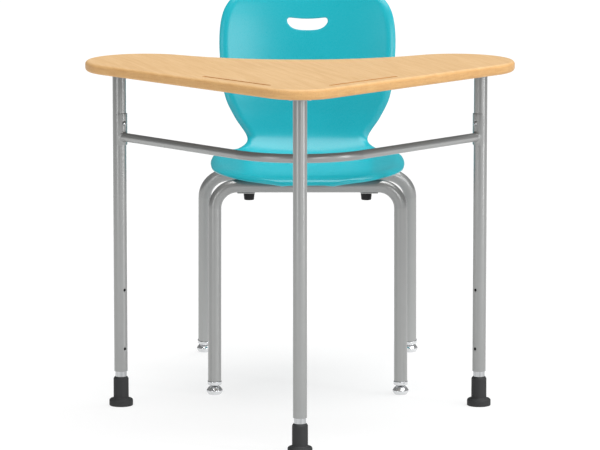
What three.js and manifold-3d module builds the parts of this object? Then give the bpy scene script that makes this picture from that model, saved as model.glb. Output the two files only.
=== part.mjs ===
// Student desk and chair set.
//
// The desk has a rounded triangular top with a shallow concave edge on the
// user's side, two pencil grooves, three telescoping legs in black boots, and
// a bent stretcher bar between its rear legs. The chair is a one-piece plastic
// shell on two bent tube frames, joined by two flat rails, on swivel glides.
//
// Millimetres, +Z up. The set is first laid out from the line through the
// desk's two rear legs (Y = 0), with the user on the +Y side, and then moved
// so that its origin lies on the floor at the middle of its overall box.

import * as THREE from 'three';
import { mergeVertices } from 'three/addons/utils/BufferGeometryUtils.js';
import Module from 'manifold-3d';

const wasm = await Module();
wasm.setup();

// ---- Driving dimensions -----------------------------------------------------

const GAP = 0.3; // clearance between pieces that touch
const OVERRUN = 5; // how far a drill runs past what it cuts
const HEAD_SHAPE = { flat: 0.7, shoulder: 0.6 }; // of a screw head, as shares of its radius and height

// Desk top
const TOP_UNDERSIDE = 702;
const TOP_THICKNESS = 21;
const TOP_EDGE_ROUND = 7;
const LOBE = { x: 315.5, y: -53.5, radius: 120 }; // rounded rear corners
const APEX = { y: -452, radius: 83 }; // rounded front corner
const REAR_DIP_Y = -37.5; // where the concave rear edge crosses the middle
const GROOVE = { length: 198, width: 8, depth: 3, inset: 31, towardsApex: 28 };

// Desk legs
const DESK_LEG_X = 369;
const FRONT_LEG_Y = -490;
const TUBE_RADIUS = 13.75;
const INNER_LEG_RADIUS = 12;
const INNER_LEG_BORE = 10;
const INNER_LEG_TOP = 300;
const UPPER_LEG_BOTTOM = 72;
const UPPER_LEG_BORE = INNER_LEG_RADIUS + 0.35;
const BOOT = { height: 61, radius: 15.6, flangeRadius: 24.5, flangeHeight: 15, floor: 5 };
const LOCK_HEIGHTS = { lower: 119.6, upper: 242.5 };
const LOCK_SCREW = { radius: 2.8, inner: 12.4, outer: 13.4, socketRadius: 1.4, socketDepth: 0.6 };
const PLATE = { radius: 28, thickness: 2, screwCircle: 21 };
const PLATE_SCREW = { pilot: 2.5, shank: 2.2, head: 4.5, headHeight: 1.8, pilotDepth: 13, depth: 12 };

// Stretcher bar and the saddles that hold it
const STRETCHER = { z: 559.6, radius: 9, bore: 7.4, bend: 165 };
const SADDLE = { bottom: 543, top: 608, wall: 2, wrap: 66, screwZ: 588 };
const SADDLE_SCREW = { shank: 2.5, head: 4.8, headHeight: 3, tip: 8 };

// Chair
const CHAIR_X = 16; // the chair stands this far to the right of the desk's middle
const CHAIR_TUBE_BORE = 11.75;
const CHAIR_TUBE_BOTTOM = 28;
const FRONT_FRAME = { footY: 120, barY: 120, footX: 194.3, topX: 192.9, barZ: 439.6, bend: 47 };
const REAR_FRAME = { footY: 610, barY: 499, footX: 225.5, topX: 221.5, barZ: 408.4, bend: 53 };
const RAIL = { x: 128, width: 37, bottom: 423.5, thickness: 2, front: 118, back: 512 };
const BUMPER = { x: 122, y: 150, height: 17, topRadius: 12, bottomRadius: 10.3, edge: 1.2 };
const BUMPER_STEM = { radius: 3.4, aboveRail: 3 };
const SEAT_SCREW_Y = { front: 195, rear: 380 };
const SEAT_SCREW = { shank: 2.6, head: 5, headHeight: 3, tip: 442 };
const BOSS_RADIUS = 8;

// Swivel glides
const BALL_Z = 9;
const BALL_RADIUS = 6.5;
const STUD_RADIUS = 3.5;
const BALL_CLEARANCE = 0.45; // between the ball and its socket
const GLIDE_CAP = { radius: 15, below: 8, plug: 17, lowerEdge: 1, upperEdge: 0.5 };
const PLUG_CLEARANCE = 0.9;
const STUD_BELOW_PLUG_TOP = 3;
const GLIDE_BASE = { radius: 17, rim: 7.5, top: 17.2, socketMouth: 6, flare: 7.9 };

// Shell of the chair, from the front lip to the top of the back. Each station
// gives the middle of the wall (y, z), half the width there, how far the side
// edges stand towards the sitter, and how deep the edge rolls away from them.
const SHELL_WALL = 5;
const SHELL_STATIONS = [
  { y: 60, z: 446, half: 203.5, dish: 0, roll: 6 },
  { y: 66, z: 456.5, half: 203.5, dish: 2, roll: 6.5 },
  { y: 90, z: 460.5, half: 203.5, dish: 5, roll: 8 },
  { y: 150, z: 460, half: 203.5, dish: 8, roll: 8.5 },
  { y: 250, z: 455, half: 203.5, dish: 12, roll: 10 },
  { y: 340, z: 451.5, half: 203.5, dish: 22, roll: 12 },
  { y: 390, z: 455, half: 194, dish: 22, roll: 11 },
  { y: 434, z: 467, half: 151, dish: 13, roll: 9 },
  { y: 458, z: 490, half: 128.5, dish: 8, roll: 8 },
  { y: 477, z: 537, half: 157, dish: 14, roll: 8 },
  { y: 487, z: 580, half: 177, dish: 20, roll: 8 },
  { y: 507, z: 670, half: 188.5, dish: 26, roll: 8 },
  { y: 527, z: 755, half: 188.5, dish: 26, roll: 8 },
  { y: 539, z: 792, half: 188.5, dish: 24, roll: 6 },
  { y: 551, z: 804, half: 188.5, dish: 22, roll: 4 },
];
const FRONT_ROUND = { length: 265, power: 2.6 }; // how the plan closes at the front lip
const TOP_ROUND = { length: 155, power: 4.2 }; // and at the top of the back
const EDGE_ROLL_WIDTH = 20;
const SHELL_END_MARGIN = 3; // the outline stops this far short of its two ends
const SHELL_GRID = { rows: 34, columns: 12 };
const HAND_HOLE = { halfWidth: 44, top: 746, height: 26, dip: 2.5, drill: 200 };

// ---- Materials --------------------------------------------------------------

const finish = (color, roughness, metalness) =>
  new THREE.MeshStandardMaterial({ color, roughness, metalness });

const material = {
  laminate: finish(0xeac799, 0.5, 0),
  paint: finish(0xa0a3a2, 0.4, 0.3),
  chrome: finish(0xd2d4d6, 0.15, 1),
  rubber: finish(0x38393b, 0.75, 0),
  shell: finish(0x21b5c6, 0.4, 0),
  blackPlastic: finish(0x1c1c1e, 0.55, 0),
  zinc: finish(0xb9bcbe, 0.35, 0.9),
};

// ---- Shape helpers ----------------------------------------------------------

// A closed geometry as a solid that can be joined and cut.
function toSolid(geometry) {
  const bare = geometry.clone();
  bare.deleteAttribute('normal');
  bare.deleteAttribute('uv');
  const merged = mergeVertices(bare, 1e-4);
  const corners = merged.index.array;
  const kept = [];
  for (let i = 0; i < corners.length; i += 3) {
    const [a, b, c] = corners.slice(i, i + 3);
    if (a !== b && b !== c && c !== a) kept.push(a, b, c);
  }
  return new wasm.Manifold(new wasm.Mesh({
    numProp: 3,
    vertProperties: new Float32Array(merged.attributes.position.array),
    triVerts: new Uint32Array(kept),
  }));
}

function toGeometry(solid) {
  const mesh = solid.getMesh();
  const geometry = new THREE.BufferGeometry();
  geometry.setAttribute('position', new THREE.BufferAttribute(mesh.vertProperties, 3));
  geometry.setIndex(new THREE.BufferAttribute(mesh.triVerts, 1));
  geometry.computeVertexNormals();
  return geometry;
}

function cut(geometry, tools) {
  let solid = toSolid(geometry);
  for (const tool of tools) solid = solid.subtract(toSolid(tool));
  return toGeometry(solid);
}

// A body of revolution about Z from [radius, z] points, listed outwards along
// the bottom, up the outside and back in along the top.
function turned(profile, sides = 16) {
  const points = profile.map(([radius, z]) => new THREE.Vector2(radius, z));
  return new THREE.LatheGeometry(points, sides).rotateX(Math.PI / 2);
}

// A round rod between two heights.
function rod(radius, bottom, top, sides = 12) {
  return turned([[0, bottom], [radius, bottom], [radius, top], [0, top]], sides);
}

// A straight round tube between two heights.
function straightTube(radius, bore, bottom, top, sides = 16) {
  return turned([[bore, bottom], [radius, bottom], [radius, top], [bore, top], [bore, bottom]], sides);
}

// A rod that points outwards from the Z axis in a horizontal direction.
function radialRod(radius, inner, outer, angle, height, sides = 10) {
  return rod(radius, inner, outer, sides).rotateY(Math.PI / 2).rotateZ(angle).translate(0, 0, height);
}

// A line of straight stretches joined by bends, stepped only where it bends.
class BentLine extends THREE.Curve {
  constructor(corners, bendRadius, bendSteps = 6) {
    super();
    this.stations = [corners[0]];
    for (let i = 1; i < corners.length - 1; i += 1) {
      this.stations.push(...BentLine.bend(corners[i - 1], corners[i], corners[i + 1], bendRadius, bendSteps));
    }
    this.stations.push(corners[corners.length - 1]);
  }

  static bend(before, corner, after, radius, steps) {
    const back = before.clone().sub(corner).normalize();
    const onward = after.clone().sub(corner).normalize();
    const turn = Math.PI - back.angleTo(onward);
    const start = corner.clone().addScaledVector(back, radius * Math.tan(turn / 2));
    const inward = onward.clone().addScaledVector(back, -back.dot(onward)).normalize();
    const points = [];
    for (let i = 0; i <= steps; i += 1) {
      const angle = (turn * i) / steps;
      points.push(start.clone()
        .addScaledVector(back, -radius * Math.sin(angle))
        .addScaledVector(inward, radius * (1 - Math.cos(angle))));
    }
    return points;
  }

  get steps() {
    return this.stations.length - 1;
  }

  getPoint(t, target = new THREE.Vector3()) {
    const place = Math.min(Math.max(t, 0), 1) * this.steps;
    const index = Math.min(Math.floor(place), this.steps - 1);
    return target.lerpVectors(this.stations[index], this.stations[index + 1], place - index);
  }

  // The mean of the directions either side of a station.
  getTangent(t, target = new THREE.Vector3()) {
    const index = Math.round(t * this.steps);
    const last = this.stations[Math.max(index - 1, 0)];
    const here = this.stations[index];
    const next = this.stations[Math.min(index + 1, this.steps)];
    const arriving = here.clone().sub(last).normalize();
    const leaving = next.clone().sub(here).normalize();
    return target.copy(arriving).add(leaving).normalize();
  }

  getUtoTmapping(u) {
    return u;
  }
}

function bentTube(path, radius, bore, sides = 12) {
  const section = new THREE.Shape().absarc(0, 0, radius, 0, 2 * Math.PI);
  section.holes.push(new THREE.Path().absarc(0, 0, bore, 0, 2 * Math.PI, true));
  return new THREE.ExtrudeGeometry(section, {
    extrudePath: path,
    steps: path.steps,
    curveSegments: sides / 2,
    bevelEnabled: false,
  });
}

// A plate of a flat outline between two heights.
function plate(outline, bottom, thickness, curveSegments = 5) {
  return new THREE.ExtrudeGeometry(outline, { depth: thickness, bevelEnabled: false, curveSegments })
    .translate(0, 0, bottom);
}

function circle(x, y, radius) {
  return new THREE.Path().absarc(x, y, radius, 0, 2 * Math.PI, true);
}

const set = new THREE.Group();
const desk = new THREE.Group();
const chair = new THREE.Group();
chair.position.x = CHAIR_X;
set.add(desk, chair);

function add(group, name, geometry, surface, x = 0, y = 0, z = 0) {
  const mesh = new THREE.Mesh(geometry, surface);
  mesh.name = name;
  mesh.position.set(x, y, z);
  group.add(mesh);
  return mesh;
}

// ---- Desk top ---------------------------------------------------------------

// The straight front sides touch the lobe and the apex circle. This is the
// direction of their outward normal on the right-hand side.
const sideLength = Math.hypot(LOBE.x, LOBE.y - APEX.y);
const sideNormal = Math.atan2(LOBE.y - APEX.y, LOBE.x) - Math.PI / 2
  + Math.asin((APEX.radius - LOBE.radius) / sideLength);

// The concave rear edge crosses the middle at REAR_DIP_Y and touches both lobes.
const lobeDrop = LOBE.y - REAR_DIP_Y;
const rearRadius = (LOBE.x ** 2 + lobeDrop ** 2 - LOBE.radius ** 2) / (2 * (LOBE.radius + lobeDrop));
const rearCentreY = REAR_DIP_Y + rearRadius;
const lobeToRear = Math.atan2(rearCentreY - LOBE.y, -LOBE.x);

function topOutline() {
  const mirrored = Math.PI - sideNormal;
  return new THREE.Shape()
    .absarc(0, APEX.y, APEX.radius, mirrored - 2 * Math.PI, sideNormal)
    .absarc(LOBE.x, LOBE.y, LOBE.radius, sideNormal, lobeToRear)
    .absarc(0, rearCentreY, rearRadius, lobeToRear - Math.PI, -lobeToRear, true)
    .absarc(-LOBE.x, LOBE.y, LOBE.radius, Math.PI - lobeToRear, mirrored);
}

// A straight round-ended cutter, centred on the origin along X.
function grooveCutter() {
  const reach = (GROOVE.length - GROOVE.width) / 2;
  const slot = new THREE.Shape()
    .absarc(reach, 0, GROOVE.width / 2, -Math.PI / 2, Math.PI / 2)
    .absarc(-reach, 0, GROOVE.width / 2, Math.PI / 2, 1.5 * Math.PI);
  return plate(slot, TOP_UNDERSIDE + TOP_THICKNESS - GROOVE.depth, GROOVE.depth + OVERRUN);
}

// A point on the desk's side edge, so far from the apex circle's tangent point
// along the side, and so far in from the edge. side is -1 left, 1 right.
function besideEdge(side, along, inset) {
  const out = new THREE.Vector2(Math.cos(sideNormal), Math.sin(sideNormal));
  const up = new THREE.Vector2(-out.y, out.x);
  const point = new THREE.Vector2(0, APEX.y)
    .addScaledVector(out, APEX.radius - inset)
    .addScaledVector(up, along);
  return [side * point.x, point.y];
}

// The rear legs' fittings face along the desk's front sides, and the front
// leg's face the user.
const alongSide = sideNormal - Math.PI / 2;
const deskLegs = [
  { side: 'left', x: -DESK_LEG_X, y: 0, facing: Math.PI - alongSide },
  { side: 'right', x: DESK_LEG_X, y: 0, facing: alongSide },
  { side: 'front', x: 0, y: FRONT_LEG_Y, facing: Math.PI / 2 },
];
const rearLegs = deskLegs.slice(0, 2);

// The places of a leg plate's three screws.
function plateScrews(leg) {
  return [0, 1, 2].map((i) => {
    const angle = leg.facing + (i * 2 * Math.PI) / 3;
    return [leg.x + PLATE.screwCircle * Math.cos(angle), leg.y + PLATE.screwCircle * Math.sin(angle)];
  });
}

function deskTop() {
  const board = new THREE.ExtrudeGeometry(topOutline(), {
    depth: TOP_THICKNESS - 2 * TOP_EDGE_ROUND,
    bevelThickness: TOP_EDGE_ROUND,
    bevelSize: TOP_EDGE_ROUND,
    bevelOffset: -TOP_EDGE_ROUND,
    bevelSegments: 2,
    curveSegments: 8,
  }).translate(0, 0, TOP_UNDERSIDE + TOP_EDGE_ROUND);
  const slope = alongSide + Math.PI;
  const grooves = [-1, 1].map((side) => {
    const [x, y] = besideEdge(side, GROOVE.towardsApex + GROOVE.length / 2, GROOVE.inset);
    return grooveCutter().rotateZ(side * slope).translate(x, y, 0);
  });
  const pilotTop = TOP_UNDERSIDE + PLATE_SCREW.pilotDepth;
  const pilots = deskLegs.flatMap(plateScrews).map(([x, y]) =>
    rod(PLATE_SCREW.pilot, TOP_UNDERSIDE - OVERRUN, pilotTop, 8).translate(x, y, 0));
  return cut(board, [...grooves, ...pilots]);
}

add(desk, 'desk_top', deskTop(), material.laminate);

// ---- Desk legs --------------------------------------------------------------

const plateTop = TOP_UNDERSIDE - GAP;
const plateBottom = plateTop - PLATE.thickness;
const upperLegTop = plateBottom - GAP;

function legPlate(leg) {
  const outline = new THREE.Shape().absarc(0, 0, PLATE.radius, 0, 2 * Math.PI);
  for (const [x, y] of plateScrews(leg)) {
    outline.holes.push(circle(x - leg.x, y - leg.y, PLATE_SCREW.pilot));
  }
  return plate(outline, plateBottom, PLATE.thickness, 6);
}

// The screw's head is under the plate and its shank in the top's pilot hole.
function plateScrew() {
  const headTop = plateBottom - GAP;
  const headBottom = headTop - PLATE_SCREW.headHeight;
  const tip = TOP_UNDERSIDE + PLATE_SCREW.depth;
  return turned([
    [0, headBottom],
    [PLATE_SCREW.head * HEAD_SHAPE.flat, headBottom],
    [PLATE_SCREW.head, headBottom + PLATE_SCREW.headHeight * HEAD_SHAPE.shoulder],
    [PLATE_SCREW.head, headTop],
    [PLATE_SCREW.shank, headTop],
    [PLATE_SCREW.shank, tip - PLATE_SCREW.shank],
    [0, tip],
  ], 8);
}

// The outer tube of a leg, with its lock screw holes and, on a rear leg, the
// hole for the saddle's screw.
function upperLeg(leg) {
  const tube = straightTube(TUBE_RADIUS, UPPER_LEG_BORE, UPPER_LEG_BOTTOM, upperLegTop);
  const drill = (radius, height) => radialRod(radius, OVERRUN, TUBE_RADIUS + OVERRUN, leg.facing, height);
  const holes = Object.values(LOCK_HEIGHTS).map((height) => drill(LOCK_SCREW.radius + GAP, height));
  if (leg.side !== 'front') holes.push(drill(SADDLE_SCREW.shank + GAP, SADDLE.screwZ));
  return cut(tube, holes);
}

// A grub screw in the outer tube's wall, with a six-sided socket, backed off
// the inner leg.
function lockScrew(leg, height) {
  const { radius, inner, outer, socketRadius, socketDepth } = LOCK_SCREW;
  const socketFloor = outer - socketDepth;
  const screw = turned([
    [0, inner],
    [radius, inner],
    [radius, outer],
    [socketRadius, outer],
    [socketRadius, socketFloor],
    [0, socketFloor],
  ], 10);
  return screw.rotateY(Math.PI / 2).rotateZ(leg.facing).translate(0, 0, height);
}

// The rubber foot round the inner leg. Its small numbers are edge roundings.
function boot() {
  const { height, radius, flangeRadius, flangeHeight, floor } = BOOT;
  const bore = INNER_LEG_RADIUS + GAP;
  return turned([
    [0, 0],
    [flangeRadius - 2, 0],
    [flangeRadius, 2],
    [flangeRadius, flangeHeight - 3.5],
    [flangeRadius - 2.5, flangeHeight - 0.5],
    [radius + 1.2, flangeHeight],
    [radius, flangeHeight + 1.5],
    [radius - 0.3, height - 3],
    [radius - 2, height],
    [bore, height],
    [bore, floor],
    [0, floor],
  ]);
}

for (const leg of deskLegs) {
  const { side, x, y } = leg;
  add(desk, `boot_${side}`, boot(), material.rubber, x, y);
  add(desk, `inner_leg_${side}`,
    straightTube(INNER_LEG_RADIUS, INNER_LEG_BORE, BOOT.floor + GAP, INNER_LEG_TOP),
    material.chrome, x, y);
  add(desk, `upper_leg_${side}`, upperLeg(leg), material.paint, x, y);
  add(desk, `leg_plate_${side}`, legPlate(leg), material.paint, x, y);
  for (const [level, height] of Object.entries(LOCK_HEIGHTS)) {
    add(desk, `lock_screw_${side}_${level}`, lockScrew(leg, height), material.blackPlastic, x, y);
  }
  plateScrews(leg).forEach(([screwX, screwY], i) => {
    add(desk, `plate_screw_${side}_${i + 1}`, plateScrew(), material.zinc, screwX, screwY);
  });
}

// ---- Stretcher bar and saddles ----------------------------------------------

const saddleInner = TUBE_RADIUS + GAP;
const saddleOuter = saddleInner + SADDLE.wall;

// A curved plate that hugs the leg on the side of the stretcher bar.
function saddle(leg) {
  const half = THREE.MathUtils.degToRad(SADDLE.wrap);
  const outline = new THREE.Shape()
    .absarc(0, 0, saddleOuter, leg.facing - half, leg.facing + half)
    .absarc(0, 0, saddleInner, leg.facing + half, leg.facing - half, true);
  const body = plate(outline, SADDLE.bottom, SADDLE.top - SADDLE.bottom, 6);
  const bore = SADDLE_SCREW.shank + GAP;
  return cut(body, [radialRod(bore, OVERRUN, saddleOuter + OVERRUN, leg.facing, SADDLE.screwZ)]);
}

function saddleScrew(leg) {
  const seat = saddleOuter + GAP;
  const { shank, head, headHeight } = SADDLE_SCREW;
  const screw = turned([
    [0, SADDLE_SCREW.tip],
    [shank, SADDLE_SCREW.tip],
    [shank, seat],
    [head, seat],
    [head, seat + headHeight * (1 - HEAD_SHAPE.shoulder)],
    [head * HEAD_SHAPE.flat, seat + headHeight],
    [0, seat + headHeight],
  ], 10);
  return screw.rotateY(Math.PI / 2).rotateZ(leg.facing).translate(0, 0, SADDLE.screwZ);
}

// The bar runs from saddle to saddle along the front sides and bends round
// in the middle, with its ends cut to the saddles' curve.
function stretcherBar() {
  const corner = DESK_LEG_X * Math.tan(alongSide - Math.PI);
  const path = new BentLine([
    new THREE.Vector3(-DESK_LEG_X, 0, STRETCHER.z),
    new THREE.Vector3(0, -corner, STRETCHER.z),
    new THREE.Vector3(DESK_LEG_X, 0, STRETCHER.z),
  ], STRETCHER.bend, 8);
  const copes = rearLegs.map(({ x, y }) =>
    rod(saddleOuter + GAP, SADDLE.bottom, SADDLE.top, 24).translate(x, y, 0));
  return cut(bentTube(path, STRETCHER.radius, STRETCHER.bore), copes);
}

add(desk, 'stretcher_bar', stretcherBar(), material.paint);
for (const leg of rearLegs) {
  add(desk, `saddle_${leg.side}`, saddle(leg), material.paint, leg.x, leg.y);
  add(desk, `saddle_screw_${leg.side}`, saddleScrew(leg), material.zinc, leg.x, leg.y);
}

// ---- Chair frames -----------------------------------------------------------

// An upside-down U of tube, from a foot up to the bar and down to the other.
function chairFrame({ footX, footY, topX, barY, barZ, bend }) {
  const corner = (side, x, y, z) => new THREE.Vector3(side * x, y, z);
  const lean = (barY - footY) / barZ;
  const bottomY = footY + lean * CHAIR_TUBE_BOTTOM;
  const path = new BentLine([
    corner(-1, footX, bottomY, CHAIR_TUBE_BOTTOM),
    corner(-1, topX, barY, barZ),
    corner(1, topX, barY, barZ),
    corner(1, footX, bottomY, CHAIR_TUBE_BOTTOM),
  ], bend);
  return bentTube(path, TUBE_RADIUS, CHAIR_TUBE_BORE);
}

add(chair, 'front_leg_frame', chairFrame(FRONT_FRAME), material.paint);
add(chair, 'rear_leg_frame', chairFrame(REAR_FRAME), material.paint);

// ---- Seat rails, bumpers and seat screws ------------------------------------

const railTop = RAIL.bottom + RAIL.thickness;
const sides = [['left', -1], ['right', 1]];

function seatRail(side) {
  const halfWidth = RAIL.width / 2;
  const x = side * RAIL.x;
  const outline = new THREE.Shape([
    new THREE.Vector2(x - halfWidth, RAIL.front),
    new THREE.Vector2(x + halfWidth, RAIL.front),
    new THREE.Vector2(x + halfWidth, RAIL.back),
    new THREE.Vector2(x - halfWidth, RAIL.back),
  ]);
  for (const y of Object.values(SEAT_SCREW_Y)) outline.holes.push(circle(x, y, SEAT_SCREW.shank + GAP));
  outline.holes.push(circle(side * BUMPER.x, BUMPER.y, BUMPER_STEM.radius + GAP));
  return plate(outline, RAIL.bottom, RAIL.thickness);
}

// A tapered stacking bumper, its edge rounded, with a stem that ends above the rail.
function bumper() {
  const top = RAIL.bottom - GAP;
  const bottom = top - BUMPER.height;
  return turned([
    [0, bottom],
    [BUMPER.bottomRadius - BUMPER.edge, bottom],
    [BUMPER.bottomRadius, bottom + BUMPER.edge],
    [BUMPER.topRadius, top],
    [BUMPER_STEM.radius, top],
    [BUMPER_STEM.radius, railTop + BUMPER_STEM.aboveRail],
    [0, railTop + BUMPER_STEM.aboveRail],
  ], 16);
}

function seatScrew() {
  const headTop = RAIL.bottom - GAP;
  const headBottom = headTop - SEAT_SCREW.headHeight;
  return turned([
    [0, headBottom],
    [SEAT_SCREW.head * HEAD_SHAPE.flat, headBottom],
    [SEAT_SCREW.head, headBottom + SEAT_SCREW.headHeight * HEAD_SHAPE.shoulder],
    [SEAT_SCREW.head, headTop],
    [SEAT_SCREW.shank, headTop],
    [SEAT_SCREW.shank, SEAT_SCREW.tip],
    [0, SEAT_SCREW.tip],
  ], 10);
}

for (const [name, side] of sides) {
  add(chair, `seat_rail_${name}`, seatRail(side), material.paint);
  add(chair, `bumper_${name}`, bumper(), material.blackPlastic, side * BUMPER.x, BUMPER.y);
  for (const [place, y] of Object.entries(SEAT_SCREW_Y)) {
    add(chair, `seat_screw_${place}_${name}`, seatScrew(), material.zinc, side * RAIL.x, y);
  }
}

// ---- Chair shell ------------------------------------------------------------

// Smooth curves through the stations, both run by the same parameter.
const shellLine = new THREE.CatmullRomCurve3(
  SHELL_STATIONS.map(({ half, y, z }) => new THREE.Vector3(half, y, z)), false, 'centripetal');
const shellForm = new THREE.SplineCurve(
  SHELL_STATIONS.map(({ dish, roll }) => new THREE.Vector2(dish, roll)));
const shellLength = shellLine.getLength();

// How much of its full width an outline has at a distance from its end.
function rounding(distance, { length, power }) {
  const left = Math.max(1 - distance / length, 0);
  return (1 - left ** power) ** (1 / power);
}

// A point of the shell: u runs from the front lip to the top of the back,
// across from -1 at the left edge to 1 at the right, and offset is how far the
// point lies from the middle of the wall, away from the sitter.
function shellPoint(u, across, offset) {
  const middle = shellLine.getPointAt(u);
  const tangent = shellLine.getTangentAt(u);
  const form = shellForm.getPoint(shellLine.getUtoTmapping(u));
  const away = new THREE.Vector3(0, tangent.z, -tangent.y).normalize();
  const distance = u * shellLength;
  const half = middle.x * rounding(distance, FRONT_ROUND) * rounding(shellLength - distance, TOP_ROUND);
  const intoRoll = Math.max(1 - (half * (1 - Math.abs(across))) / EDGE_ROLL_WIDTH, 0);
  const shift = offset - form.x * ((half * across) / middle.x) ** 2 + form.y * intoRoll ** 2;
  return new THREE.Vector3(half * across, middle.y, middle.z).addScaledVector(away, shift);
}

// The wall as a grid of points on its two faces, joined round the edge.
function shellWall(rows, columns) {
  const endMargin = SHELL_END_MARGIN / shellLength;
  const positions = [];
  for (const offset of [-SHELL_WALL / 2, SHELL_WALL / 2]) {
    for (let i = 0; i <= rows; i += 1) {
      const u = endMargin + (1 - 2 * endMargin) * (1 - Math.cos((Math.PI * i) / rows)) / 2;
      for (let j = 0; j <= columns; j += 1) {
        const across = Math.sin(Math.PI * (j / columns - 0.5));
        positions.push(...shellPoint(u, across, offset));
      }
    }
  }
  const at = (face, i, j) => (face * (rows + 1) + i) * (columns + 1) + j;
  const triangles = [];
  const quad = (a, b, c, d) => triangles.push(a, b, c, a, c, d);
  for (let i = 0; i < rows; i += 1) {
    for (let j = 0; j < columns; j += 1) {
      quad(at(0, i, j), at(0, i, j + 1), at(0, i + 1, j + 1), at(0, i + 1, j));
      quad(at(1, i, j), at(1, i + 1, j), at(1, i + 1, j + 1), at(1, i, j + 1));
    }
    quad(at(0, i, 0), at(0, i + 1, 0), at(1, i + 1, 0), at(1, i, 0));
    quad(at(0, i, columns), at(1, i, columns), at(1, i + 1, columns), at(0, i + 1, columns));
  }
  for (let j = 0; j < columns; j += 1) {
    quad(at(0, 0, j), at(1, 0, j), at(1, 0, j + 1), at(0, 0, j + 1));
    quad(at(0, rows, j), at(0, rows, j + 1), at(1, rows, j + 1), at(1, rows, j));
  }
  const geometry = new THREE.BufferGeometry();
  geometry.setAttribute('position', new THREE.Float32BufferAttribute(positions, 3));
  geometry.setIndex(triangles);
  return geometry;
}

// The hand hole's outline, flat on top with a slight dip and bowed below. Its
// points are shares of the half width and of the height.
function handHoleCutter() {
  const { halfWidth, height, dip } = HAND_HOLE;
  const at = (across, up) => [halfWidth * across, height * up];
  const outline = new THREE.Shape();
  outline.moveTo(...at(-0.84, 0));
  outline.quadraticCurveTo(0, -2 * dip, ...at(0.84, 0));
  outline.bezierCurveTo(...at(1, 0.04), ...at(1.04, -0.3), ...at(0.92, -0.52));
  outline.bezierCurveTo(...at(0.76, -0.9), ...at(0.5, -1), ...at(0, -1));
  outline.bezierCurveTo(...at(-0.5, -1), ...at(-0.76, -0.9), ...at(-0.92, -0.52));
  outline.bezierCurveTo(...at(-1.04, -0.3), ...at(-1, 0.04), ...at(-0.84, 0));
  return new THREE.ExtrudeGeometry(outline, {
    depth: HAND_HOLE.drill,
    bevelEnabled: false,
    curveSegments: 6,
  })
    .rotateX(Math.PI / 2)
    .translate(0, SHELL_STATIONS.at(-1).y + HAND_HOLE.drill / 2, HAND_HOLE.top);
}

// The middle of the seat's wall above a point of the floor plan.
function seatHeight(x, y) {
  let low = 0;
  let high = 1;
  while (high - low > 1e-4) {
    const u = (low + high) / 2;
    if (shellLine.getPointAt(u).y < y) low = u;
    else high = u;
  }
  const half = shellLine.getPointAt(low).x;
  return shellPoint(low, x / half, 0).z;
}

function seatShell() {
  let shell = toSolid(shellWall(SHELL_GRID.rows, SHELL_GRID.columns)).subtract(toSolid(handHoleCutter()));
  for (const [, side] of sides) {
    for (const y of Object.values(SEAT_SCREW_Y)) {
      const x = side * RAIL.x;
      const boss = rod(BOSS_RADIUS, railTop + GAP, seatHeight(x, y)).translate(x, y, 0);
      const pilot = rod(SEAT_SCREW.shank + GAP, railTop - OVERRUN, SEAT_SCREW.tip + 1, 10).translate(x, y, 0);
      shell = shell.add(toSolid(boss)).subtract(toSolid(pilot));
    }
  }
  return toGeometry(shell);
}

add(chair, 'seat_shell', seatShell(), material.shell);

// ---- Swivel glides ----------------------------------------------------------

// The cap under the tube's end, with its plug inside the tube. It is drawn
// with the tube's axis on Z and the ball's centre at the origin.
function glideCap(tubeEnd) {
  const bore = STUD_RADIUS + GAP;
  const plug = CHAIR_TUBE_BORE - PLUG_CLEARANCE;
  const ledge = tubeEnd - GAP;
  const bottom = tubeEnd - GLIDE_CAP.below;
  return turned([
    [bore, bottom],
    [GLIDE_CAP.radius - GLIDE_CAP.lowerEdge, bottom],
    [GLIDE_CAP.radius, bottom + GLIDE_CAP.lowerEdge],
    [GLIDE_CAP.radius, ledge - GLIDE_CAP.upperEdge],
    [GLIDE_CAP.radius - GLIDE_CAP.upperEdge, ledge],
    [plug, ledge],
    [plug, ledge + GLIDE_CAP.plug],
    [bore, ledge + GLIDE_CAP.plug],
    [bore, bottom],
  ]);
}

// The threaded stud and the ball on its end, drawn like the cap.
function glideStud(tubeEnd) {
  const neckAngle = Math.asin(STUD_RADIUS / BALL_RADIUS);
  const ballSteps = 5;
  const profile = [];
  for (let i = 0; i <= ballSteps; i += 1) {
    const angle = -Math.PI / 2 + ((Math.PI - neckAngle) * i) / ballSteps;
    profile.push([BALL_RADIUS * Math.cos(angle), BALL_RADIUS * Math.sin(angle)]);
  }
  profile[0][0] = 0;
  const top = tubeEnd + GLIDE_CAP.plug - STUD_BELOW_PLUG_TOP;
  return turned([...profile, [STUD_RADIUS, top], [0, top]], 12);
}

// The domed steel foot that swivels on the ball, standing on the floor. Its
// mouth flares, so that the stud can lean in it. The small numbers shape its dome.
function glideBase() {
  const socket = BALL_RADIUS + BALL_CLEARANCE;
  const mouthAngle = Math.acos(GLIDE_BASE.socketMouth / socket);
  const steps = 5;
  const cavity = [];
  for (let i = 0; i <= steps; i += 1) {
    const angle = mouthAngle - ((mouthAngle + Math.PI / 2) * i) / steps;
    cavity.push([socket * Math.cos(angle), BALL_Z + socket * Math.sin(angle)]);
  }
  cavity[steps][0] = 0;
  const { radius, rim, top, flare } = GLIDE_BASE;
  return turned([
    [0, 0],
    [radius - 3, 0],
    [radius, 3.5],
    [radius, rim],
    [radius - 1.2, rim + 3.5],
    [radius * 0.72, top - 2],
    [flare + 1.2, top],
    [flare, top - 0.3],
    ...cavity,
  ]);
}

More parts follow.
